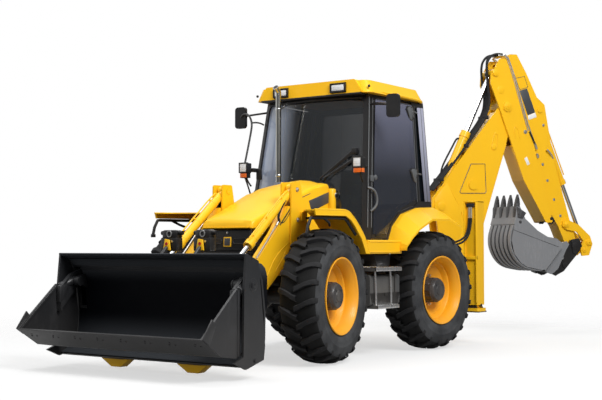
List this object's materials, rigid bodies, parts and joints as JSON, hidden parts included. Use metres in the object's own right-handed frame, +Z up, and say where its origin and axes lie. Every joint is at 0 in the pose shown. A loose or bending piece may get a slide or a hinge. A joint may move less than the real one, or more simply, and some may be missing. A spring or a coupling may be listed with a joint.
{
  "type": "backhoe loader",
  "caption": "Backhoe loader with equal wheels, a front loader with a clam shovel, a glazed cab, a lifting hood, stabiliser legs and a slewing backhoe with an extending dipper and bucket",
  "frame": {"origin": "on the ground under the middle of the bounding box, with the backhoe slewed and its tool tucked in", "axes": "+Z up, -Y towards the loader shovel, +X the machine's left"},
  "size_m": [2.8084, 8.1528, 3.8695],
  "materials": {
    "body_yellow": "glossy enamel",
    "rim_yellow": "satin enamel",
    "frame_black": "satin enamel",
    "shovel_black": "worn satin enamel",
    "bucket_grey": "satin enamel",
    "chrome_rod": "polished",
    "engine_iron": "rough cast",
    "tyre_rubber": "matt",
    "plastic_black": "grained",
    "seat_cloth": "woven",
    "cab_glass": "tinted"
  },
  "bodies": {
    "machine": {"chassis_frame": "body_yellow", "loader_towers": "body_yellow", "drive_line": "engine_iron", "front_grille": "frame_black", "rear_cowl": "body_yellow", "exhaust_stack": "chrome_rod", "front_fenders": "body_yellow", "axles": "frame_black", "cab_base": "body_yellow", "cab_frame": "frame_black", "cab_glass": "cab_glass", "cab_roof": "body_yellow", "seat": "seat_cloth", "steering_console": "plastic_black", "side_tanks": "frame_black", "lamps": "plastic_black", "mirrors": "plastic_black", "rear_frame": "body_yellow"},
    "hood": {"hood": "body_yellow"},
    "loader_arms": {"loader_arms": "body_yellow"},
    "lift_ram_barrels": {"lift_ram_barrels": "body_yellow"},
    "lift_ram_rods": {"lift_ram_rods": "chrome_rod"},
    "tilt_ram_barrels": {"tilt_ram_barrels": "body_yellow"},
    "tilt_ram_rods": {"tilt_ram_rods": "chrome_rod"},
    "shovel": {"shovel_blade": "shovel_black"},
    "clam": {"shovel_clam": "shovel_black"},
    "kingpost": {"kingpost": "body_yellow"},
    "boom": {"boom": "body_yellow"},
    "boom_ram_barrel": {"boom_ram_barrel": "body_yellow"},
    "boom_ram_rod": {"boom_ram_rod": "chrome_rod"},
    "dipper": {"dipper_outer": "body_yellow"},
    "dipper_extension": {"dipper_inner": "body_yellow"},
    "dipper_ram_barrel": {"dipper_ram_barrel": "body_yellow"},
    "dipper_ram_rod": {"dipper_ram_rod": "chrome_rod"},
    "bucket_ram_barrel": {"bucket_ram_barrel": "body_yellow"},
    "bucket_ram_rod": {"bucket_ram_rod": "chrome_rod"},
    "tipping_lever": {"tipping_lever": "body_yellow"},
    "tipping_link": {"tipping_link": "body_yellow"},
    "bucket": {"quick_hitch": "frame_black", "bucket": "bucket_grey"},
    "door_left": {"door_left": "frame_black", "door_glass_left": "cab_glass"},
    "stabiliser_left": {"stabiliser_leg_left": "body_yellow"},
    "knuckle_front_left": {"knuckle_front_left": "frame_black"},
    "wheel_front_left": {"rim_front_left": "rim_yellow", "tyre_front_left": "tyre_rubber"},
    "knuckle_rear_left": {"knuckle_rear_left": "frame_black"},
    "wheel_rear_left": {"rim_rear_left": "rim_yellow", "tyre_rear_left": "tyre_rubber"},
    "door_right": {"door_right": "frame_black", "door_glass_right": "cab_glass"},
    "stabiliser_right": {"stabiliser_leg_right": "body_yellow"},
    "knuckle_front_right": {"knuckle_front_right": "frame_black"},
    "wheel_front_right": {"rim_front_right": "rim_yellow", "tyre_front_right": "tyre_rubber"},
    "knuckle_rear_right": {"knuckle_rear_right": "frame_black"},
    "wheel_rear_right": {"rim_rear_right": "rim_yellow", "tyre_rear_right": "tyre_rubber"}
  },
  "joints": [
    {"name": "loader_lift", "type": "hinge", "parent": "machine", "child": "loader_arms", "pos_m": [-0.1722, -1.77644, 1.49], "axis": [1, 0, 0], "range_deg": [-80, 3]},
    {"name": "lift_ram_swing", "type": "hinge", "parent": "machine", "child": "lift_ram_barrels", "pos_m": [-0.1722, -1.44644, 0.94], "axis": [1, 0, 0], "range_deg": [-48.31, 1.83]},
    {"name": "lift_ram_stroke", "type": "slide", "parent": "lift_ram_barrels", "child": "lift_ram_rods", "axis": [0, -0.9999, -0.0102], "range_m": [-0.019, 0.4978]},
    {"name": "tilt_ram_swing", "type": "hinge", "parent": "machine", "child": "tilt_ram_barrels", "pos_m": [-0.1722, -1.77644, 1.82], "axis": [1, 0, 0], "range_deg": [-80.35, 3.03]},
    {"name": "tilt_ram_stroke", "type": "slide", "parent": "tilt_ram_barrels", "child": "tilt_ram_rods", "axis": [0, -0.7772, -0.6293], "range_m": [-0.4245, 0.0162]},
    {"name": "shovel_tilt", "type": "hinge", "parent": "loader_arms", "child": "shovel", "pos_m": [-0.1722, -3.11644, 0.33], "axis": [1, 0, 0], "range_deg": [-9, 95]},
    {"name": "clam_open", "type": "hinge", "parent": "shovel", "child": "clam", "pos_m": [-0.1722, -3.40644, 0.86], "axis": [1, 0, 0], "range_deg": [-88, 0]},
    {"name": "hood_open", "type": "hinge", "parent": "machine", "child": "hood", "pos_m": [-0.1722, -1.48144, 1.836], "axis": [1, 0, 0], "range_deg": [-60, 0]},
    {"name": "door_left_open", "type": "hinge", "parent": "machine", "child": "door_left", "pos_m": [0.7278, 0.16556, 1.7], "axis": [-0.0982, 0.0766, 0.9922], "range_deg": [0, 80]},
    {"name": "stabiliser_left_lower", "type": "slide", "parent": "machine", "child": "stabiliser_left", "axis": [0, 0, -1], "range_m": [0, 0.5]},
    {"name": "door_right_open", "type": "hinge", "parent": "machine", "child": "door_right", "pos_m": [-1.0722, 0.16556, 1.7], "axis": [0.0982, 0.0766, 0.9922], "range_deg": [-80, 0]},
    {"name": "stabiliser_right_lower", "type": "slide", "parent": "machine", "child": "stabiliser_right", "axis": [0, 0, -1], "range_m": [0, 0.5]},
    {"name": "steer_front_left", "type": "hinge", "parent": "machine", "child": "knuckle_front_left", "pos_m": [0.5728, -1.82644, 0.697], "axis": [0, 0, 1], "range_deg": [-26.7, 9.3]},
    {"name": "wheel_front_left", "type": "hinge", "parent": "knuckle_front_left", "child": "wheel_front_left", "pos_m": [0.5728, -1.82644, 0.697], "axis": [0.9885, 0.1513, 0], "continuous": true},
    {"name": "steer_rear_left", "type": "hinge", "parent": "machine", "child": "knuckle_rear_left", "pos_m": [0.5728, 0.39356, 0.697], "axis": [0, 0, 1], "range_deg": [-13.4, 22.6]},
    {"name": "wheel_rear_left", "type": "hinge", "parent": "knuckle_rear_left", "child": "wheel_rear_left", "pos_m": [0.5728, 0.39356, 0.697], "axis": [0.9968, -0.0802, 0], "continuous": true},
    {"name": "steer_front_right", "type": "hinge", "parent": "machine", "child": "knuckle_front_right", "pos_m": [-0.9172, -1.82644, 0.697], "axis": [0, 0, 1], "range_deg": [-26.7, 9.3]},
    {"name": "wheel_front_right", "type": "hinge", "parent": "knuckle_front_right", "child": "wheel_front_right", "pos_m": [-0.9172, -1.82644, 0.697], "axis": [0.9885, 0.1513, 0], "continuous": true},
    {"name": "steer_rear_right", "type": "hinge", "parent": "machine", "child": "knuckle_rear_right", "pos_m": [-0.9172, 0.39356, 0.697], "axis": [0, 0, 1], "range_deg": [-13.4, 22.6]},
    {"name": "wheel_rear_right", "type": "hinge", "parent": "knuckle_rear_right", "child": "wheel_rear_right", "pos_m": [-0.9172, 0.39356, 0.697], "axis": [0.9968, -0.0802, 0], "continuous": true},
    {"name": "backhoe_slew", "type": "hinge", "parent": "machine", "child": "kingpost", "pos_m": [-0.1722, 1.75355, 0.74], "axis": [0, 0, 1], "range_deg": [-57, 123]},
    {"name": "boom_raise", "type": "hinge", "parent": "kingpost", "child": "boom", "pos_m": [0.07289, 2.13096, 0.62], "axis": [0.8387, -0.5446, 0], "range_deg": [-105, 0]},
    {"name": "boom_ram_swing", "type": "hinge", "parent": "kingpost", "child": "boom_ram_barrel", "pos_m": [-0.10303, 1.86007, 1.065], "axis": [0.8387, -0.5446, 0], "range_deg": [-91.55, 0]},
    {"name": "boom_ram_stroke", "type": "slide", "parent": "boom_ram_barrel", "child": "boom_ram_rod", "axis": [0.2993, 0.4609, 0.8354], "range_m": [0, 0.796]},
    {"name": "dipper_swing", "type": "hinge", "parent": "boom", "child": "dipper", "pos_m": [0.53801, 2.84718, 3.137], "axis": [0.8387, -0.5446, 0], "range_deg": [0, 88]},
    {"name": "dipper_ram_swing", "type": "hinge", "parent": "boom", "child": "dipper_ram_barrel", "pos_m": [-0.03386, 1.96658, 1.75], "axis": [0.8387, -0.5446, 0], "range_deg": [-0.832, 0]},
    {"name": "dipper_ram_stroke", "type": "slide", "parent": "dipper_ram_barrel", "child": "dipper_ram_rod", "axis": [0.2314, 0.3563, 0.9053], "range_m": [-0.6795, 0]},
    {"name": "dipper_extend", "type": "slide", "parent": "dipper", "child": "dipper_extension", "axis": [0.1728, 0.2661, -0.9483], "range_m": [0, 1.2]},
    {"name": "bucket_tip", "type": "hinge", "parent": "dipper_extension", "child": "bucket", "pos_m": [1.11315, 3.73282, 1.217], "axis": [0.8387, -0.5446, 0], "range_deg": [0, 185]},
    {"name": "tipping_lever_swing", "type": "hinge", "parent": "dipper_extension", "child": "tipping_lever", "pos_m": [1.05106, 3.63721, 1.521], "axis": [0.8387, -0.5446, 0], "range_deg": [0, 105.22]},
    {"name": "bucket_ram_swing", "type": "hinge", "parent": "dipper_extension", "child": "bucket_ram_barrel", "pos_m": [0.83375, 3.30258, 3.121], "axis": [0.8387, -0.5446, 0], "range_deg": [0, 2.22]},
    {"name": "bucket_ram_stroke", "type": "slide", "parent": "bucket_ram_barrel", "child": "bucket_ram_rod", "axis": [0.2085, 0.321, -0.9239], "range_m": [-0.7022, 0]},
    {"name": "tipping_link_swing", "type": "hinge", "parent": "tipping_lever", "child": "tipping_link", "pos_m": [1.21118, 3.88378, 1.162], "axis": [0.8387, -0.5446, 0], "range_deg": [-46.72, 0]}
  ],
  "couplings": [
    {"joint": "lift_ram_swing", "follows": "loader_lift", "ratio": 0.60359},
    {"joint": "lift_ram_stroke", "follows": "loader_lift", "m_per_rad": -0.35631},
    {"joint": "tilt_ram_swing", "follows": "loader_lift", "ratio": 1.0041},
    {"joint": "tilt_ram_stroke", "follows": "loader_lift", "m_per_rad": 0.30378},
    {"joint": "steer_front_right", "follows": "steer_front_left", "ratio": 1},
    {"joint": "steer_rear_right", "follows": "steer_rear_left", "ratio": 1},
    {"joint": "boom_ram_swing", "follows": "boom_raise", "ratio": 0.87173},
    {"joint": "boom_ram_stroke", "follows": "boom_raise", "m_per_rad": -0.4342},
    {"joint": "dipper_ram_swing", "follows": "dipper_swing", "ratio": -0.009224},
    {"joint": "dipper_ram_stroke", "follows": "dipper_swing", "m_per_rad": -0.44221},
    {"joint": "tipping_lever_swing", "follows": "bucket_tip", "ratio": 0.56863},
    {"joint": "bucket_ram_swing", "follows": "bucket_tip", "ratio": 0.011896},
    {"joint": "bucket_ram_stroke", "follows": "bucket_tip", "m_per_rad": -0.21738},
    {"joint": "tipping_link_swing", "follows": "bucket_tip", "ratio": -0.25243}
  ]
}
